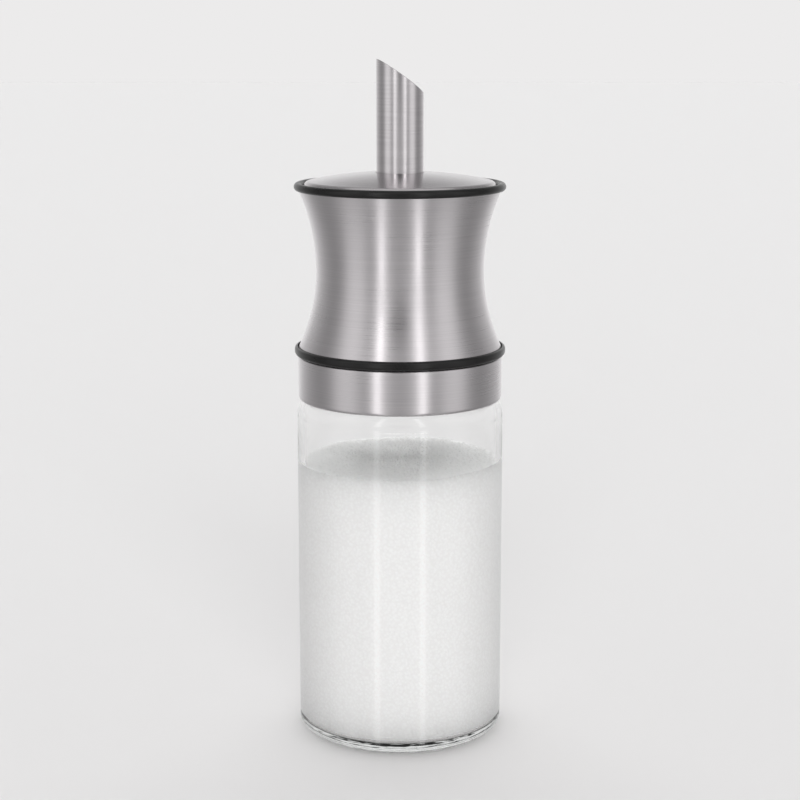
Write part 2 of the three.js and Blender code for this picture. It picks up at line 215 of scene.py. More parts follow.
# Soda-lime glass: IOR 1.52, and no roughness after fire polishing. The slow ripple of a blown wall bends
# what is seen through it a little, the mould leaves fine knurls round the foot that break its rim into
# light and dark dashes, and a long way through the glass is faintly green-grey.
soda_lime, tree, where = new_material("blown soda-lime glass")
blown_ripple = 14 * mm
ripple_depth = 0.006 * mm
knurl_length = 3.5 * mm
knurl_depth = 0.08 * mm
knurl_top = 3.2 * mm
knurl_full_share = 0.6
ripple = add(tree, "TexNoise", {"Vector": where, "Scale": 1 / blown_ripple, "Detail": 1})
slow = add(tree, "Bump", {"Height": ripple.outputs["Fac"], "Strength": 1, "Distance": ripple_depth})
height = add(tree, "SeparateXYZ", {0: where})
low_down = add(tree, "MapRange", {
    "Value": height.outputs[2],
    "From Min": knurl_top * knurl_full_share,
    "From Max": knurl_top,
    "To Min": 1,
    "To Max": 0,
})
knurls = add(tree, "TexNoise", {"Vector": where, "Scale": 1 / knurl_length, "Detail": 1})
bent = add(tree, "Bump", {
    "Height": knurls.outputs["Fac"],
    "Strength": low_down.outputs[0],
    "Distance": knurl_depth,
    "Normal": slow.outputs["Normal"],
})
clear = add(tree, "BsdfPrincipled", {
    "Base Color": linear("#FFFFFF"),
    "Roughness": 0,
    "IOR": 1.52,
    "Transmission Weight": 1,
    "Normal": bent.outputs["Normal"],
})
lamplight = add(tree, "BsdfTransparent", {"Color": linear("#FCFDFC")})
shadow = add(tree, "LightPath", {}).outputs["Is Shadow Ray"]
either = add(tree, "MixShader", {0: shadow, 1: clear.outputs[0], 2: lamplight.outputs[0]})
tint = add(tree, "VolumeAbsorption", {"Color": linear("#B9C2BE"), "Density": 6})
add(tree, "OutputMaterial", {"Surface": either.outputs[0], "Volume": tint.outputs[0]})
glass_jar.data.materials.append(soda_lime)
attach(glass_jar, "jar")
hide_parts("glass_jar")

# Sugar. White granulated sugar, poured in loose until the jar is about four fifths full. Its top is nearly
# level but grainy. It fills the hollows of the wall, so there it goes a hair into the glass and no air
# shows, and on the smooth base its grains leave a thin gap.
sugar_level = 73 * mm
sugar_press = 0.05 * mm
sugar_gap = 0.12 * mm
crystal = 0.75 * mm
crystal_rise = 0.45 * mm
hollow_size = 17 * mm
hollow_depth = 0.7 * mm
ring_width = 0.36 * mm
crystal_slope = 1.6
level_slack = mm / 100
sugar_facets = 384
sugar_crease = math.radians(70)
sugar_radius = jar_bore + sugar_press
sugar_foot = jar_base + sugar_gap
ring_count = round(sugar_radius / ring_width)


def heaped(corner):
    """How far the sugar's top stands above its mean level at a corner. Its side and foot stay in place."""
    if corner.z < sugar_level - level_slack:
        return 0
    near, next_near = noise.voronoi(corner / crystal)[0][:2]
    crystal_share = min(1, crystal_slope * (next_near - near))
    return noise.noise(corner / hollow_size) * hollow_depth + crystal_share * crystal_rise


sugar = smooth(turned("sugar_fill", [
    (0, sugar_foot),
    (sugar_radius, sugar_foot, inner_foot_round),
    *((sugar_radius * (1 - step / ring_count), sugar_level) for step in range(ring_count)),
    (0, sugar_level),
], facets=sugar_facets, shift=heaped), crease=sugar_crease)

# Granulated sugar: clear crystals of half a millimetre that look white together, and glint on their faces.
# Light spreads a centimetre and more through them, so edges and the shade under the lid are soft. They are
# drawn at 0.75 mm, so that they show.
granulated, tree, where = new_material("white granulated sugar")
cells = add(tree, "TexVoronoi", {"Vector": where, "Scale": 1 / crystal})
lit = add(tree, "MapRange", {
    "Value": cells.outputs["Distance"],
    "From Max": 0.7,
    "To Min": 1,
    "To Max": 0,
})
# Painted shade: each crystal's colour darkens from its centre towards its edges, as shade in the crevices
# between crystals. The same map raises the crystals' bump.
tones = add(tree, "Mix", {0: lit.outputs[0], 6: linear("#F6F4F4"), 7: linear("#FEFDFD")}, data_type="RGBA")
grains = add(tree, "Bump", {"Height": lit.outputs[0], "Strength": 0.5, "Distance": crystal / 4})
crystals = add(tree, "BsdfPrincipled", {
    "Base Color": tones.outputs[2],
    "Roughness": 0.5,
    "IOR": 1.54,
    "Subsurface Weight": 1,
    "Subsurface Radius": (1, 1, 1),
    "Subsurface Scale": 15 * mm,
    "Normal": grains.outputs["Normal"],
})
add(tree, "OutputMaterial", {"Surface": crystals.outputs[0]})
sugar.data.materials.append(granulated)
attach(sugar, "jar")

# Rim washer. A flat ring of translucent silicone on the glass rim, so that the ring glued over the neck
# bears on rubber and not on glass.
seal_low, seal_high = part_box("glass_rim_seal")
seal_bore = 22.7 * mm
seal_edge = 0.15 * mm
rim_seal = smooth(turned("glass_rim_washer", [
    (seal_bore, seal_low.z, seal_edge),
    (seal_high.x, seal_low.z, seal_edge),
    (seal_high.x, seal_high.z, seal_edge),
    (seal_bore, seal_high.z, seal_edge),
]))

# Silicone: translucent, and matt from a blasted mould, with a faint haze of dust that its soft surface
# holds.
silicone, tree, where = new_material("moulded silicone")
haze_size = 3 * mm
haze = add(tree, "TexNoise", {"Vector": where, "Scale": 1 / haze_size, "Detail": 4})
dull = add(tree, "MapRange", {"Value": haze.outputs["Fac"], "To Min": 0.5, "To Max": 0.75})
clean = linear("#CBC9C5")
dusted = linear("#E2E0DC")
dusty = add(tree, "Mix", {0: haze.outputs["Fac"], 6: clean, 7: dusted}, data_type="RGBA")
soft = add(tree, "BsdfPrincipled", {
    "Base Color": dusty.outputs[2],
    "Roughness": dull.outputs[0],
    "IOR": 1.41,
    "Subsurface Weight": 0.3,
    "Subsurface Scale": 1 * mm,
})
add(tree, "OutputMaterial", {"Surface": soft.outputs[0]})
rim_seal.data.materials.append(silicone)
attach(rim_seal, "jar")
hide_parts("glass_rim_seal")

# Neck ring. Black ABS, moulded as an upside-down channel and glued over the glass neck. Its inner wall has
# the coarse right-hand thread that the lid screws into.
thread_pitch = 3 * mm
thread_turns = 2
thread_depth = 1 * mm
thread_sink = 0.25 * mm
ridge_base = 0.81 * mm
ridge_crest = 0.45 * mm
run_out_share = 0.12


def thread_ridge(wall, side, start_height, start_turn, facets=192):
    """A closed ridge that winds up a round wall. side is 1 on the outside of a wall and -1 in a bore. It
    runs out into the wall at both ends."""
    steps = round(thread_turns * facets)
    run_out = steps * run_out_share
    sunk = wall - side * thread_sink
    corners = []
    faces = []
    for step in range(steps + 1):
        turn = start_turn + 2 * math.pi * step / facets
        middle = start_height + thread_pitch * step / facets
        share = min(1, step / run_out, (steps - step) / run_out)
        full = share * share * (3 - 2 * share)
        crest = sunk + side * (thread_sink / 2 + (thread_depth + thread_sink / 2) * full)
        section = [(sunk, -ridge_base), (crest, -ridge_crest), (crest, ridge_crest), (sunk, ridge_base)]
        for radius, rise in section:
            corners.append((radius * math.cos(turn), radius * math.sin(turn), middle + rise))
    for step in range(steps):
        for edge in range(4):
            low = 4 * step + edge
            high = 4 * step + (edge + 1) % 4
            faces.append((low, low + 4, high + 4, high))
    last = 4 * steps
    faces += [(0, 1, 2, 3), (last + 3, last + 2, last + 1, last)]
    if side < 0:
        faces = [face[::-1] for face in faces]
    return solid("ridge", corners, faces)


def combined(piece, others, operation="UNION"):
    """Joins other closed pieces to a piece as one solid, or cuts them out of it, and removes them."""
    for other in others:
        step = piece.modifiers.new(operation, "BOOLEAN")
        step.operation = operation
        step.solver = "EXACT"
        step.object = other
    piece.data = bpy.data.meshes.new_from_object(piece.evaluated_get(bpy.context.evaluated_depsgraph_get()))
    piece.modifiers.clear()
    for other in others:
        bpy.data.objects.remove(other)
    return piece


ring_low, ring_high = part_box("neck_ring")
ring_root = 20.2 * mm
ring_inner_wall = 1.8 * mm
ring_flange = 1.1 * mm
rebate_radius = 23.9 * mm
rebate_depth = 0.5 * mm
glue_gap = 0.3 * mm
thread_top = 99.39 * mm
thread_foot = 92.38 * mm
thread_low = thread_top - thread_turns * thread_pitch
moulded_edge = 0.22 * mm
neck_ring = smooth(combined(turned("threaded_neck_ring", [
    (ring_root, thread_foot, moulded_edge),
    (ring_root + ring_inner_wall, thread_foot, moulded_edge),
    (ring_root + ring_inner_wall, ring_high.z - ring_flange),
    (neck_radius + glue_gap, ring_high.z - ring_flange),
    (neck_radius + glue_gap, ring_low.z, moulded_edge),
    (ring_high.x, ring_low.z, moulded_edge),
    (ring_high.x, ring_high.z - rebate_depth, moulded_edge),
    (rebate_radius, ring_high.z - rebate_depth),
    (rebate_radius, ring_high.z),
    (ring_root, ring_high.z, moulded_edge),
]), [thread_ridge(ring_root, -1, thread_low, 0)]))

# ABS: black all through, moulded in a spark-eroded tool whose fine grain leaves it semi-matt. The grain is
# about 0.1 mm and drawn at 0.3 mm, so that it shows.
black_abs, tree, where = new_material("moulded black ABS")
tool_grain = 0.3 * mm
flow_size = 9 * mm
grain = add(tree, "TexNoise", {"Vector": where, "Scale": 1 / tool_grain, "Detail": 3})
pitted = add(tree, "Bump", {"Height": grain.outputs["Fac"], "Strength": 0.35, "Distance": tool_grain / 10})
sheen = add(tree, "MapRange", {"Value": grain.outputs["Fac"], "To Min": 0.38, "To Max": 0.55})
flow = add(tree, "TexNoise", {"Vector": where, "Scale": 1 / flow_size, "Detail": 2})
deep_black = linear("#191718")
soft_black = linear("#242122")
tones = add(tree, "Mix", {0: flow.outputs["Fac"], 6: deep_black, 7: soft_black}, data_type="RGBA")
plastic = add(tree, "BsdfPrincipled", {
    "Base Color": tones.outputs[2],
    "Roughness": sheen.outputs[0],
    "IOR": 1.54,
    "Normal": pitted.outputs["Normal"],
})
add(tree, "OutputMaterial", {"Surface": plastic.outputs[0]})
neck_ring.data.materials.append(black_abs)
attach(neck_ring, "jar")
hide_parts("neck_ring")

# Collar band. A hoop of stainless sheet pressed over the neck ring, with its lower edge rolled in towards
# the glass and its top edge turned in over the ring. Its face is plain.
collar_low, collar_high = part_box("collar_band")
collar_sheet = 0.5 * mm
collar_roll = 1 * mm
collar_top_round = 0.6 * mm
collar_lip = 2.4 * mm
sheet_edge = 0.12 * mm
collar_radius = collar_high.x
roll_centre = collar_radius - collar_roll
roll_height = collar_low.z + collar_roll
collar_band = smooth(turned("brushed_collar_band", [
    *arc(roll_centre, roll_height, collar_roll, -90, 0, 12),
    (collar_radius, collar_high.z, collar_top_round),
    (collar_radius - collar_lip, collar_high.z, sheet_edge),
    (collar_radius - collar_lip, collar_high.z - collar_sheet, sheet_edge),
    (collar_radius - collar_sheet, collar_high.z - collar_sheet, sheet_edge),
    *arc(roll_centre, roll_height, collar_roll - collar_sheet, 0, -90, 8),
], facets=fine_facets))

cloud_size = 22 * mm
cloud_swing = 0.2
score_shade = 0.88
score_steepness = 12
quarter_turn = 0.25


def steel(name, colour, roughness, stretch, line_width, line_length, line_depth):
    """Stainless steel worked round the Z axis, which leaves fine lines about it. stretch, from 0 to 1, is how
    far the lines draw each reflection out across them."""
    material, tree, where = new_material(name)
    spread = add(tree, "VectorMath", {0: where, 1: (1, 1, 0)}, operation="MULTIPLY")
    out = add(tree, "VectorMath", {0: spread.outputs[0]}, operation="LENGTH")
    up = add(tree, "SeparateXYZ", {0: where})
    along = add(tree, "VectorMath", {0: where, 1: (1, 0.7, 0)}, operation="DOT_PRODUCT")
    course = add(tree, "CombineXYZ", {0: out.outputs["Value"], 1: up.outputs[2], 2: along.outputs["Value"]})
    sizes = add(tree, "Mapping", {
        "Vector": course.outputs[0],
        "Scale": (1 / line_width, 1 / line_width, 1 / line_length),
    })
    lines = add(tree, "TexNoise", {"Vector": sizes.outputs[0], "Scale": 1, "Detail": 5, "Roughness": 0.6})
    cloud = add(tree, "TexNoise", {"Vector": where, "Scale": 1 / cloud_size, "Detail": 2})
    both = add(tree, "Math", {0: lines.outputs["Fac"], 1: cloud.outputs["Fac"]}, operation="ADD")
    uneven = add(tree, "MapRange", {
        "Value": both.outputs[0],
        "From Min": 0.6,
        "From Max": 1.4,
        "To Min": roughness * (1 - cloud_swing),
        "To Max": roughness * (1 + cloud_swing),
    })
    deep = add(tree, "MapRange", {"Value": lines.outputs["Fac"], "From Min": 0.3, "From Max": 0.7})
    scored = [channel * score_shade for channel in linear(colour)[:3]] + [1]
    tones = add(tree, "Mix", {0: deep.outputs[0], 6: scored, 7: linear(colour)}, data_type="RGBA")
    bump = add(tree, "Bump", {
        "Height": lines.outputs["Fac"],
        "Strength": line_depth,
        "Distance": line_width / score_steepness,
    })
    around = add(tree, "Tangent", {}, direction_type="RADIAL", axis="Z")
    metal = add(tree, "BsdfPrincipled", {
        "Base Color": tones.outputs[2],
        "Metallic": 1,
        "Roughness": uneven.outputs[0],
        "Anisotropic": stretch,
        "Anisotropic Rotation": quarter_turn,
        "Tangent": around.outputs[0],
        "Normal": bump.outputs["Normal"],
    })
    add(tree, "OutputMaterial", {"Surface": metal.outputs[0]})
    return material


# Brushed stainless steel, 18/8 grade: a 180 grit belt run round and round leaves hairlines about the axis,
# which draw each reflection out into an upright streak. They are under 0.1 mm apart and drawn at 0.28 mm.
brushed_steel = steel(
    "hairline brushed stainless steel",
    colour="#D0CCCE",
    roughness=0.3,
    stretch=0.75,
    line_width=0.28 * mm,
    line_length=30 * mm,
    line_depth=0.36,
)
collar_band.data.materials.append(brushed_steel)
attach(collar_band, "jar")
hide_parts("collar_band")

# Lower black ring. A soft moulded ring with an L section, stretched round the lid's flange. It seals the
# lid on the collar, and its round edge stands a little proud of the steel above and below.
gasket_low, gasket_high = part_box("lid_gasket")
gasket_foot_round = 1 * mm
gasket_lip = 0.75 * mm
gasket_web_top = gasket_low.z + 1.2 * mm
gasket_lip_bore = gasket_high.x - gasket_lip
lid_gasket = smooth(turned("lower_black_ring", [
    (ring_root, gasket_low.z, moulded_edge),
    *arc(gasket_high.x - gasket_foot_round, gasket_low.z + gasket_foot_round, gasket_foot_round, -90, 0, 10),
    *arc(gasket_lip_bore, gasket_high.z - gasket_lip, gasket_lip, 8, 90, 10),
    (gasket_lip_bore, gasket_web_top),
    (ring_root, gasket_web_top, moulded_edge),
], facets=fine_facets))

# EPDM rubber: deep black and smooth from a polished mould, with a soft shine and a trace of dust that dulls
# it in patches of a few millimetres.
rubber, tree, where = new_material("smooth black EPDM rubber")
dust_size = 4 * mm
dust = add(tree, "TexNoise", {"Vector": where, "Scale": 1 / dust_size, "Detail": 5})
dull = add(tree, "MapRange", {"Value": dust.outputs["Fac"], "To Min": 0.2, "To Max": 0.4})
pale = add(tree, "MapRange", {"Value": dust.outputs["Fac"], "From Min": 0.45, "From Max": 0.8})
tones = add(tree, "Mix", {0: pale.outputs[0], 6: linear("#060505"), 7: linear("#131112")}, data_type="RGBA")
black = add(tree, "BsdfPrincipled", {
    "Base Color": tones.outputs[2],
    "Roughness": dull.outputs[0],
    "IOR": 1.52,
    "Specular IOR Level": 0.35,
})
add(tree, "OutputMaterial", {"Surface": black.outputs[0]})
lid_gasket.data.materials.append(rubber)
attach(lid_gasket, "gasket")
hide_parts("lid_gasket")

# Thread plug. The lid's base in black ABS: a threaded spigot with an open middle for the sugar, a flange
# that the steel shell stands on, and a land and a short collar that centre the shell and the liner.
plug_low, plug_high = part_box("thread_plug")
lid_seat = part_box("lid_shell")[0].z
plug_bore = 17.3 * mm
plug_core = 18.9 * mm
shank_radius = 19.9 * mm
shank_foot = 100.5 * mm
flange_thickness = 1 * mm
land_radius = 24.59 * mm
land_height = 2 * mm
spigot_radius = 19.05 * mm
spigot_bore = 17.55 * mm
thread_plug = smooth(combined(turned("threaded_lid_plug", [
    (plug_bore, plug_low.z, moulded_edge),
    (plug_core, plug_low.z, 2 * moulded_edge),
    (plug_core, shank_foot),
    (shank_radius, shank_foot, moulded_edge),
    (shank_radius, lid_seat - flange_thickness),
    (plug_high.x, lid_seat - flange_thickness, moulded_edge),
    (plug_high.x, lid_seat, moulded_edge),
    (land_radius, lid_seat),
    (land_radius, lid_seat + land_height, moulded_edge),
    (spigot_radius, lid_seat + land_height),
    (spigot_radius, plug_high.z, moulded_edge),
    (spigot_bore, plug_high.z, moulded_edge),
    (spigot_bore, lid_seat),
    (plug_bore, lid_seat, moulded_edge),
]), [thread_ridge(plug_core, 1, thread_low, math.pi)]))
thread_plug.data.materials.append(black_abs)
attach(thread_plug, "lid")
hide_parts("thread_plug")

# Lid shell. Thin stainless tube, spun in to a waist that gives the fingers a grip, and then brushed. It
# stands on the plug's flange, and the upper black ring holds it down.
shell_low, shell_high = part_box("lid_shell")
waist_radius = 21.75 * mm
waist_height = 19.9 * mm
shell_foot_radius = 26.3 * mm
shell_top_radius = 26.05 * mm
shell_sheet = 0.5 * mm
shell_height = shell_high.z - shell_low.z
waist_to_top = shell_height - waist_height
shell_rows = 64


def shell_radius(height):
    """Outer radius of the waisted shell at a height above its foot. Each side of the waist is a parabola."""
    if height < waist_height:
        return waist_radius + (shell_foot_radius - waist_radius) * (1 - height / waist_height) ** 2
    return waist_radius + (shell_top_radius - waist_radius) * ((height - waist_height) / waist_to_top) ** 2


rows = [shell_height * row / shell_rows for row in range(shell_rows + 1)]
shell_outside = [(shell_radius(row), shell_low.z + row) for row in rows]
shell_inside = [(shell_radius(row) - shell_sheet, shell_low.z + row) for row in reversed(rows)]
lid_shell = smooth(turned("waisted_lid_shell", shell_outside + shell_inside, facets=fine_facets))
lid_shell.data.materials.append(brushed_steel)
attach(lid_shell, "lid")
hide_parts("lid_shell")

# Liner. A black ABS sleeve inside the shell, which stands on the plug's land. It ends in a deck with a long
# boss that keeps the tube upright, and a recess for the O-ring.
liner_low, liner_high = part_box("lid_liner")
liner_radius = 20.95 * mm
liner_bore = 19.35 * mm
liner_root = 0.8 * mm
deck_thickness = 2 * mm
recess_radius = 7.92 * mm
recess_depth = 1.8 * mm
boss_radius = 9.22 * mm
boss_bore = 6.42 * mm
boss_length = 10 * mm
deck_top = liner_high.z
deck_foot = deck_top - deck_thickness
boss_foot = deck_foot - boss_length
lid_liner = smooth(turned("deck_liner", [
    (liner_bore, liner_low.z, moulded_edge),
    (liner_radius, liner_low.z, moulded_edge),
    (liner_radius, deck_foot, moulded_edge),
    (liner_high.x, deck_foot, moulded_edge),
    (liner_high.x, deck_top, moulded_edge),
    (recess_radius, deck_top, moulded_edge),
    (recess_radius, deck_top - recess_depth, moulded_edge),
    (boss_bore, deck_top - recess_depth, moulded_edge),
    (boss_bore, boss_foot, moulded_edge),
    (boss_radius, boss_foot, moulded_edge),
    (boss_radius, deck_foot, liner_root),
    (liner_bore, deck_foot, liner_root),
]))
lid_liner.data.materials.append(black_abs)
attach(lid_liner, "lid")
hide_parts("lid_liner")

# O-ring. A silicone ring in the deck's recess, squeezed between the tube's bead and the deck, so that no
# sugar or damp gets past the tube.
o_ring_low, o_ring_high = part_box("tube_seal")
o_ring_section = (o_ring_high.z - o_ring_low.z) / 2
o_ring_radius = o_ring_high.x - o_ring_section
o_ring = smooth(turned("tube_o_ring", [
    *arc(o_ring_radius, o_ring_low.z + o_ring_section, o_ring_section, 0, 345, 23),
]))
o_ring.data.materials.append(silicone)
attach(o_ring, "lid")
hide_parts("tube_seal")

# Pouring tube. Stainless tube, cut on a slant at both ends, deburred and polished. A bead swaged on it
# bears on the liner's deck, and the star washer under the boss holds it up.
tube_low, tube_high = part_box("pour_tube")
tube_tip = 177 * mm
tube_radius = 6.12 * mm
tube_bore = 5.62 * mm
tip_drop = 8.8 * mm
tip_turn = math.radians(13)
bead_radius = tube_high.x
bead_height = 1 * mm
bead_round = 0.45 * mm
inner_bevel = 4.2 * mm
cut_edge = 0.14 * mm
bead_top = deck_top + bead_height
tip_middle = tube_tip - tip_drop / 2
foot_middle = tube_low.z + inner_bevel / 2


def slanted(corner):
    """How far a corner of the straight tube moves up, so that both of its ends become slanted cuts."""
    if corner.z > bead_top:
        share = min(1, (corner.z - bead_top) / (tip_middle - bead_top))
        toward_low = corner.x * math.cos(tip_turn) + corner.y * math.sin(tip_turn)
        return -share * tip_drop * toward_low / (2 * tube_radius)
    if corner.z < deck_top:
        share = min(1, (deck_top - corner.z) / (deck_top - foot_middle))
        return share * inner_bevel * corner.x / (2 * tube_radius)
    return 0


pour_tube = smooth(turned("slanted_pouring_tube", [
    (tube_bore, foot_middle, cut_edge),
    (tube_radius, foot_middle, cut_edge),
    (tube_radius, deck_top),
    (bead_radius, deck_top, bead_round),
    (bead_radius, bead_top, bead_round),
    (tube_radius, bead_top),
    (tube_radius, tip_middle, cut_edge),
    (tube_bore, tip_middle, cut_edge),
], shift=slanted))

# Polished stainless steel: drawn tube, buffed round until its draw marks are nearly gone. It mirrors its
# surroundings as sharp upright stripes, with a little haze from fine marks, drawn 0.4 mm wide.
polished_steel = steel(
    "buffed stainless tube",
    colour="#D5D1D3",
    roughness=0.18,
    stretch=0.4,
    line_width=0.4 * mm,
    line_length=12 * mm,
    line_depth=0.06,
)
pour_tube.data.materials.append(polished_steel)
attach(pour_tube, "lid")
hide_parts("pour_tube")

# Star washer. Spring steel sheet, stamped with six teeth that dig into the tube when it is pushed on under
# the boss.
washer_low, washer_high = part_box("tube_retainer")
washer_bore = 6.22 * mm
washer_edge = 0.08 * mm
slot_reach = 7.42 * mm
slot_width = 3.2 * mm
slot_clear = 1 * mm
tooth_count = 6


def block(start, end, width, low, high, turn):
    """A square block that runs out along a radius of the axis, from start to end, between two heights."""
    outward = Vector((math.cos(turn), math.sin(turn), 0))
    sideways = Vector((-math.sin(turn), math.cos(turn), 0)) * width / 2
    flat = [
        outward * start - sideways,
        outward * end - sideways,
        outward * end + sideways,
        outward * start + sideways,
    ]
    corners = [point + Vector((0, 0, level)) for level in (low, high) for point in flat]
    faces = [(3, 2, 1, 0), (4, 5, 6, 7), (0, 1, 5, 4), (1, 2, 6, 5), (2, 3, 7, 6), (3, 0, 4, 7)]
    return solid("block", corners, faces)


slot_turns = [2 * math.pi * slot / tooth_count for slot in range(tooth_count)]
slots = [
    block(slot_clear, slot_reach, slot_width, washer_low.z - slot_clear, washer_high.z + slot_clear, turn)
    for turn in slot_turns
]
star_washer = smooth(combined(turned("star_washer", [
    (washer_bore, washer_low.z),
    (washer_high.x, washer_low.z, washer_edge),
    (washer_high.x, washer_high.z, washer_edge),
    (washer_bore, washer_high.z),
]), slots, "DIFFERENCE"))

# Satin stainless steel: sheet buffed with a fine wheel as it turned, which leaves shallow rings and a hazy
# mirror. The marks are drawn 0.5 mm wide.
satin_steel = steel(
    "satin stainless sheet",
    colour="#CCC8CA",
    roughness=0.22,
    stretch=0.2,
    line_width=0.5 * mm,
    line_length=20 * mm,
    line_depth=0.06,
)
star_washer.data.materials.append(satin_steel)
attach(star_washer, "lid")
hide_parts("tube_retainer")

# Dosing cup. One black ABS moulding: an open cup, and inside it a sleeve on three ribs that grips the tube.
# Sugar falls into it between the ribs, and the tube takes one portion out of it.
cup_low, cup_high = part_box("dosing_cup")
cup_wall = 1 * mm
cup_floor = 1.2 * mm
cup_foot_round = 1.5 * mm
sleeve_bore = 6.42 * mm
sleeve_radius = 7.22 * mm
sleeve_length = 7.5 * mm
rib_count = 3
rib_first_turn = math.radians(60)
rib_thickness = 1.2 * mm
rib_height = 5 * mm
cup_radius = 12.76 * mm
sleeve = turned("sleeve", [
    (sleeve_bore, cup_high.z - sleeve_length),
    (sleeve_radius, cup_high.z - sleeve_length),
    (sleeve_radius, cup_high.z, moulded_edge),
    (sleeve_bore, cup_high.z, moulded_edge),
])
rib_start = sleeve_radius - moulded_edge
rib_end = cup_radius - cup_wall + moulded_edge
rib_turns = [rib_first_turn + 2 * math.pi * rib / rib_count for rib in range(rib_count)]
rib_foot = cup_high.z - rib_height
rib_top = cup_high.z - moulded_edge
ribs = [block(rib_start, rib_end, rib_thickness, rib_foot, rib_top, turn) for turn in rib_turns]
dosing_cup = smooth(combined(turned("dosing_cup_inside", [
    (0, cup_low.z),
    (cup_radius, cup_low.z, cup_foot_round),
    (cup_radius, cup_high.z, moulded_edge),
    (cup_radius - cup_wall, cup_high.z, moulded_edge),
    (cup_radius - cup_wall, cup_low.z + cup_floor, moulded_edge),
    (0, cup_low.z + cup_floor),
]), [sleeve, *ribs]))
dosing_cup.data.materials.append(black_abs)
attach(dosing_cup, "cup")
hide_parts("dosing_cup")

# Upper black ring. A moulded ring whose web lies on the liner's deck. Its round bead covers the shell's top
# edge, stands out over it and frames the steel plate.
trim_low, trim_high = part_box("top_trim_ring")
trim_bead = 1.075 * mm
trim_foot_round = 0.95 * mm
trim_web_top = trim_low.z + 0.85 * mm
trim_web_inner = liner_high.x - 2.4 * mm
trim_ring = smooth(turned("upper_black_ring", [
    (trim_web_inner, trim_low.z, moulded_edge),
    *arc(trim_high.x - trim_foot_round, trim_low.z + trim_foot_round, trim_foot_round, -90, 0, 8),
    *arc(trim_high.x - trim_bead, trim_high.z - trim_bead, trim_bead, 6, 180, 24),
    (trim_high.x - 2 * trim_bead, trim_web_top),
    (trim_web_inner, trim_web_top, moulded_edge),
], facets=fine_facets))
trim_ring.data.materials.append(rubber)
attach(trim_ring, "lid")
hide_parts("top_trim_ring")

# Top plate. Stainless sheet pressed to a shallow dome, with its rim turned down onto the ring's web and a
# hole for the tube, and satin polished.
plate_low, plate_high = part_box("top_plate")
plate_radius = plate_high.x
plate_sheet = 0.6 * mm
plate_edge_height = 1.3 * mm
plate_crown = 2.6 * mm
plate_corner = 1.6 * mm
plate_hole = 6.22 * mm
hole_edge = 0.1 * mm
plate_rows = 16
dome_radius = (plate_radius ** 2 + plate_crown ** 2) / (2 * plate_crown)
dome_centre = plate_low.z + plate_edge_height + plate_crown - dome_radius


def dome_height(radius):
    """Height of the plate's outer face at a radius."""
    return dome_centre + math.sqrt(dome_radius ** 2 - radius ** 2)


plate_shoulder = plate_radius - plate_corner
plate_rim_bore = plate_radius - plate_sheet
outer_radii = [
    plate_shoulder + (plate_hole - plate_shoulder) * row / plate_rows
    for row in range(1, plate_rows)
]
inner_radii = [
    plate_hole + (plate_rim_bore - plate_hole) * row / plate_rows
    for row in range(1, plate_rows + 1)
]
top_plate = smooth(turned("domed_top_plate", [
    (plate_rim_bore, plate_low.z),
    (plate_radius, plate_low.z, hole_edge),
    *arc(plate_shoulder, dome_height(plate_shoulder) - plate_corner, plate_corner, 0, 84, 12),
    *((radius, dome_height(radius)) for radius in outer_radii),
    (plate_hole, dome_height(plate_hole), hole_edge),
    (plate_hole, dome_height(plate_hole) - plate_sheet, hole_edge),
    *((radius, dome_height(radius) - plate_sheet) for radius in inner_radii),
], facets=fine_facets))
top_plate.data.materials.append(satin_steel)
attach(top_plate, "lid")
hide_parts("top_plate")

# Floor. A plain pale table top of opal acrylic that runs out of sight, with the dispenser's soft shadow on
# it. Light spreads some way through the sheet, also under the jar, so that the glass base stays light.
floor_reach = 6
floor_colour = linear("#E1E0E0")
backdrop_colour = linear("#ECEBEB")
floor_gap = 0.05 * mm
floor = solid("floor", [
    (-floor_reach, -floor_reach, -floor_gap),
    (floor_reach, -floor_reach, -floor_gap),
    (floor_reach, floor_reach, -floor_gap),
    (-floor_reach, floor_reach, -floor_gap),
], [(0, 1, 2, 3)])
acrylic, tree, where = new_material("matt opal acrylic")
opal = add(tree, "SubsurfaceScattering", {"Color": floor_colour, "Scale": 12 * mm, "Radius": (1, 1, 1)})
add(tree, "OutputMaterial", {"Surface": opal.outputs[0]})
floor.data.materials.append(acrylic)
floor.visible_glossy = False

# Light tent. Upright cloth walls round the table, lit unevenly from behind, that only the shiny surfaces
# see. The slit for the lens and the joints between the cloths are dark, so polished and brushed steel get
# upright stripes, and the walls' foot is dimmer, so a soft grey line marks each side of the jar.
tent_radius = 320 * mm
tent_low = -600 * mm
tent_high = 600 * mm
tent_levels = [
    (0, 0.5), (8, 0.53), (14, 0.64), (19, 0.85), (21.5, 1.6), (23.5, 2.4), (25.5, 2.4), (27.5, 1.6),
    (30, 0.85), (35, 0.5), (40, 0.48), (45, 0.58), (52, 0.76), (62, 0.82), (70, 0.76), (78, 0.56),
    (86, 0.4), (96, 0.35), (106, 0.38), (116, 0.46), (128, 0.58), (140, 0.7), (150, 0.85), (158, 0.9),
    (180, 0.9),
]
slit_middle = Vector((0, -tent_radius, 220 * mm))
slit_half_width = 72 * mm
slit_half_height = 52 * mm
slit_level = 0.06
slit_inner_edge = 0.6
slit_outer_edge = 1.4
strip_gap_middle = 148 * mm
strip_gap_from = 30 * mm
strip_gap_to = 60 * mm
strip_gap_level = 0.95
front_dark_height = -220 * mm
front_bright_height = 220 * mm
front_dark_level = 0.7
front_bright_level = 1.27
front_fades_from = 0.36
front_fades_to = 0.53
back_starts_from = 0.5
back_starts_to = 0.72
back_dims_from = 165 * mm
back_dims_to = 330 * mm
back_top_level = 0.42
skirt_from = 5 * mm
skirt_to = 25 * mm
skirt_level = 0.65
tent_facets = 180
tent_ring = [2 * math.pi * step / tent_facets for step in range(tent_facets)]
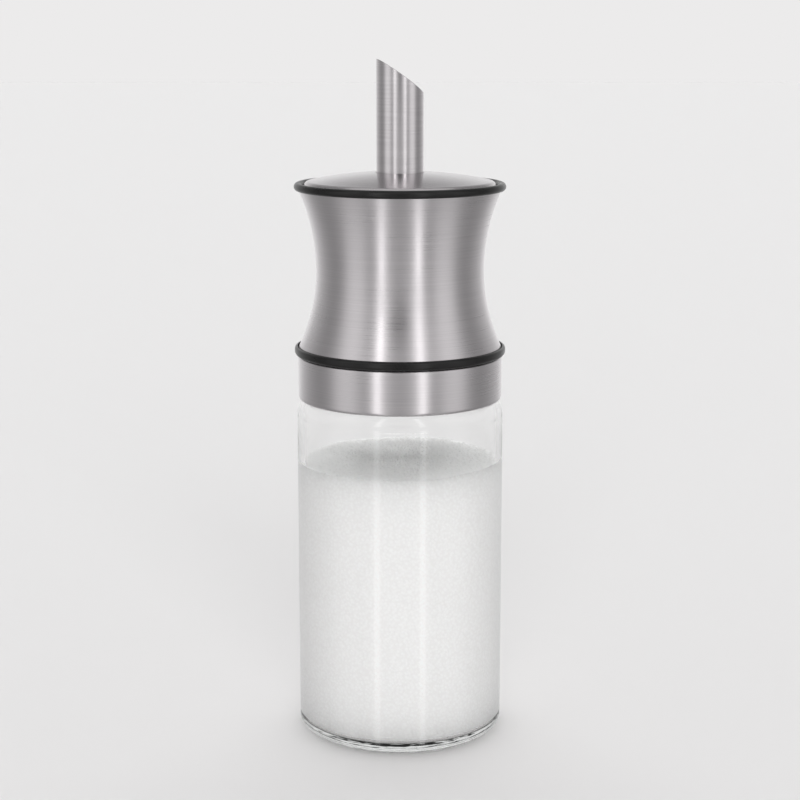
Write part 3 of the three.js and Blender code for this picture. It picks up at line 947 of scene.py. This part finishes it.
tent = solid("light_tent", [
    (tent_radius * math.cos(turn), tent_radius * math.sin(turn), level)
    for level in (tent_low, tent_high) for turn in tent_ring
], [
    (step, tent_facets + step, tent_facets + (step + 1) % tent_facets, (step + 1) % tent_facets)
    for step in range(tent_facets)
])
cloth, tree, where = new_material("lit cloth")
split = add(tree, "SeparateXYZ", {0: where})
front = add(tree, "Math", {0: split.outputs[1], 1: -1}, operation="MULTIPLY")
bearing = add(tree, "Math", {0: split.outputs[0], 1: front.outputs[0]}, operation="ARCTAN2")
aside = add(tree, "Math", {0: bearing.outputs[0]}, operation="ABSOLUTE")
share = add(tree, "Math", {0: aside.outputs[0], 1: math.pi}, operation="DIVIDE")
levels = add(tree, "FloatCurve", {"Value": share.outputs[0]})
curve = levels.mapping.curves[0]
brightest = max(level for angle, level in tent_levels)
curve.points[0].location = (0, tent_levels[0][1] / brightest)
curve.points[1].location = (1, tent_levels[-1][1] / brightest)
for angle, level in tent_levels[1:-1]:
    curve.points.new(angle / 180, level / brightest)
levels.mapping.update()
from_slit = add(tree, "VectorMath", {0: where, 1: slit_middle}, operation="SUBTRACT")
slit_share = add(tree, "VectorMath", {
    0: from_slit.outputs[0],
    1: (1 / slit_half_width, 1 / slit_half_width, 1 / slit_half_height),
}, operation="MULTIPLY")
slit_edge = add(tree, "VectorMath", {0: slit_share.outputs[0]}, operation="LENGTH")
slit = add(tree, "MapRange", {
    "Value": slit_edge.outputs["Value"],
    "From Min": slit_inner_edge,
    "From Max": slit_outer_edge,
    "To Min": slit_level * brightest,
    "To Max": brightest,
}, interpolation_type="SMOOTHSTEP")
rise = add(tree, "MapRange", {
    "Value": split.outputs[2],
    "From Min": back_dims_from,
    "From Max": back_dims_to,
    "To Min": 1,
    "To Max": back_top_level,
}, interpolation_type="SMOOTHSTEP")
skirt = add(tree, "MapRange", {
    "Value": split.outputs[2],
    "From Min": skirt_from,
    "From Max": skirt_to,
    "To Min": skirt_level,
    "To Max": 1,
}, interpolation_type="SMOOTHSTEP")
back_share = add(tree, "Math", {0: rise.outputs[0], 1: skirt.outputs[0]}, operation="MULTIPLY")
behind = add(tree, "MapRange", {
    "Value": share.outputs[0],
    "From Min": back_starts_from,
    "From Max": back_starts_to,
})
dimmed = add(tree, "Mix", {0: behind.outputs[0], 2: 1, 3: back_share.outputs[0]}, data_type="FLOAT")
from_gap = add(tree, "Math", {0: split.outputs[2], 1: strip_gap_middle}, operation="SUBTRACT")
off_gap = add(tree, "Math", {0: from_gap.outputs[0]}, operation="ABSOLUTE")
cap = add(tree, "MapRange", {
    "Value": off_gap.outputs[0],
    "From Min": strip_gap_from,
    "From Max": strip_gap_to,
    "To Min": strip_gap_level / brightest,
    "To Max": 1,
}, interpolation_type="SMOOTHSTEP")
capped = add(tree, "Math", {0: levels.outputs[0], 1: cap.outputs[0]}, operation="MINIMUM")
down_light = add(tree, "MapRange", {
    "Value": split.outputs[2],
    "From Min": front_dark_height,
    "From Max": front_bright_height,
    "To Min": front_dark_level,
    "To Max": front_bright_level,
})
before = add(tree, "MapRange", {
    "Value": share.outputs[0],
    "From Min": front_fades_from,
    "From Max": front_fades_to,
    "To Min": 1,
    "To Max": 0,
})
graded = add(tree, "Mix", {0: before.outputs[0], 2: 1, 3: down_light.outputs[0]}, data_type="FLOAT")
even = add(tree, "Math", {0: capped.outputs[0], 1: slit.outputs[0]}, operation="MULTIPLY")
lower = add(tree, "Math", {0: even.outputs[0], 1: graded.outputs[0]}, operation="MULTIPLY")
glow = add(tree, "Math", {0: lower.outputs[0], 1: dimmed.outputs[0]}, operation="MULTIPLY")
shine = add(tree, "Emission", {"Color": linear("#FFFFFF"), "Strength": glow.outputs[0]})
add(tree, "OutputMaterial", {"Surface": shine.outputs[0]})
cloth.cycles.emission_sampling = "NONE"
tent.data.materials.append(cloth)
tent.visible_camera = False
tent.visible_diffuse = False
tent.visible_transmission = False
tent.visible_shadow = False

# Daylight. An even white sky at plain level, a brighter panel behind the table that reaches the top of the
# sugar under the lid, and a soft lamp in front that throws the shadow back. To the lens, and through the
# glass, the sky is as pale as the floor.
sky_level = 0.66
panel_level = 3.9
panel_sides = (0.45, 0.85)
panel_foot = (0.05, 0.2)
panel_top = (0.36, 0.62)
lamp_level = 1.3
lamp_softness = math.radians(40)
lamp_height = math.radians(22)
lamp_side = math.radians(4)
world = bpy.data.worlds.new("even sky")
world.use_nodes = True
bpy.context.scene.world = world
tree = world.node_tree
tree.nodes.clear()
direction = add(tree, "SeparateXYZ", {0: add(tree, "TexCoord", {}).outputs["Generated"]})
across = add(tree, "MapRange", {
    "Value": direction.outputs[1],
    "From Min": panel_sides[0],
    "From Max": panel_sides[1],
}, interpolation_type="SMOOTHSTEP")
lower_edge = add(tree, "MapRange", {
    "Value": direction.outputs[2],
    "From Min": panel_foot[0],
    "From Max": panel_foot[1],
}, interpolation_type="SMOOTHSTEP")
upper_edge = add(tree, "MapRange", {
    "Value": direction.outputs[2],
    "From Min": panel_top[0],
    "From Max": panel_top[1],
    "To Min": 1,
    "To Max": 0,
}, interpolation_type="SMOOTHSTEP")
upright = add(tree, "Math", {0: lower_edge.outputs[0], 1: upper_edge.outputs[0]}, operation="MULTIPLY")
panel = add(tree, "Math", {0: across.outputs[0], 1: upright.outputs[0]}, operation="MULTIPLY")
strength = add(tree, "MapRange", {"Value": panel.outputs[0], "To Min": sky_level, "To Max": panel_level})
daylight = add(tree, "Background", {"Color": linear("#FFFFFF"), "Strength": strength.outputs[0]})
backdrop = add(tree, "Background", {"Color": backdrop_colour, "Strength": 1})
path = add(tree, "LightPath", {})
seen = add(tree, "Math", {
    0: path.outputs["Is Camera Ray"],
    1: path.outputs["Is Transmission Ray"],
}, operation="MAXIMUM")
either = add(tree, "MixShader", {0: seen.outputs[0], 1: daylight.outputs[0], 2: backdrop.outputs[0]})
add(tree, "OutputWorld", {"Surface": either.outputs[0]})
lamp_data = bpy.data.lights.new("soft lamp", "SUN")
lamp_data.energy = lamp_level
lamp_data.angle = lamp_softness
lamp = bpy.data.objects.new("soft lamp", lamp_data)
lamp_from = Vector((math.sin(lamp_side), -math.cos(lamp_side), math.tan(lamp_height)))
lamp.rotation_euler = lamp_from.to_track_quat("Z", "Y").to_euler()
lamp.visible_glossy = False
lamp.visible_transmission = False
bpy.context.scene.collection.objects.link(lamp)
bpy.context.scene.view_settings.view_transform = "Standard"
